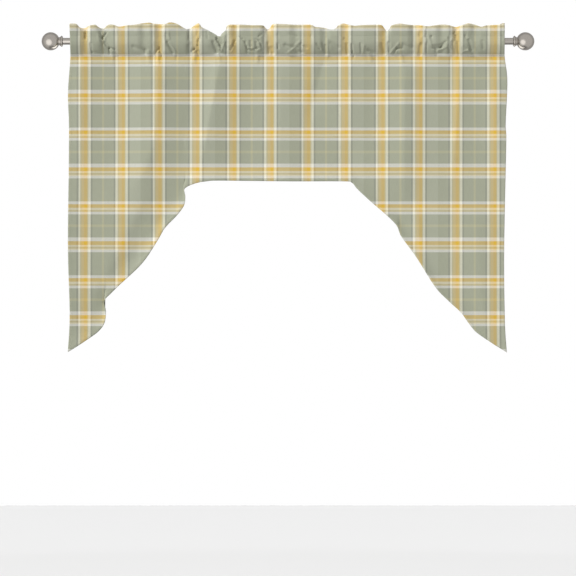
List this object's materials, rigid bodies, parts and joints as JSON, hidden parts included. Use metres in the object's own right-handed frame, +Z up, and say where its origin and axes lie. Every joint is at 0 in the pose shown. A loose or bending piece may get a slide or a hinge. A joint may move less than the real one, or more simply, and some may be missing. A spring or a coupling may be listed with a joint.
{
  "type": "swag window valance on a curtain rod",
  "caption": "Plaid swag window valance, arched between two long tails, hung by its rod pocket on a round curtain rod with ball finials.",
  "frame": {"origin": "on the rod's axis, at the middle of its length", "axes": "+Z up, X along the rod, the front of the valance faces -Y"},
  "size_m": [1.3746, 0.0506, 0.9179],
  "materials": {
    "plaid_fabric": "matte woven plaid in sage green with gold and off-white bands",
    "rod_nickel": "satin nickel plated steel tube",
    "finial_nickel": "satin nickel, turned ball and collar"
  },
  "bodies": {
    "root": {"valance": "plaid_fabric", "rod": "rod_nickel", "finial_left": "finial_nickel", "finial_right": "finial_nickel"}
  },
  "joints": []
}
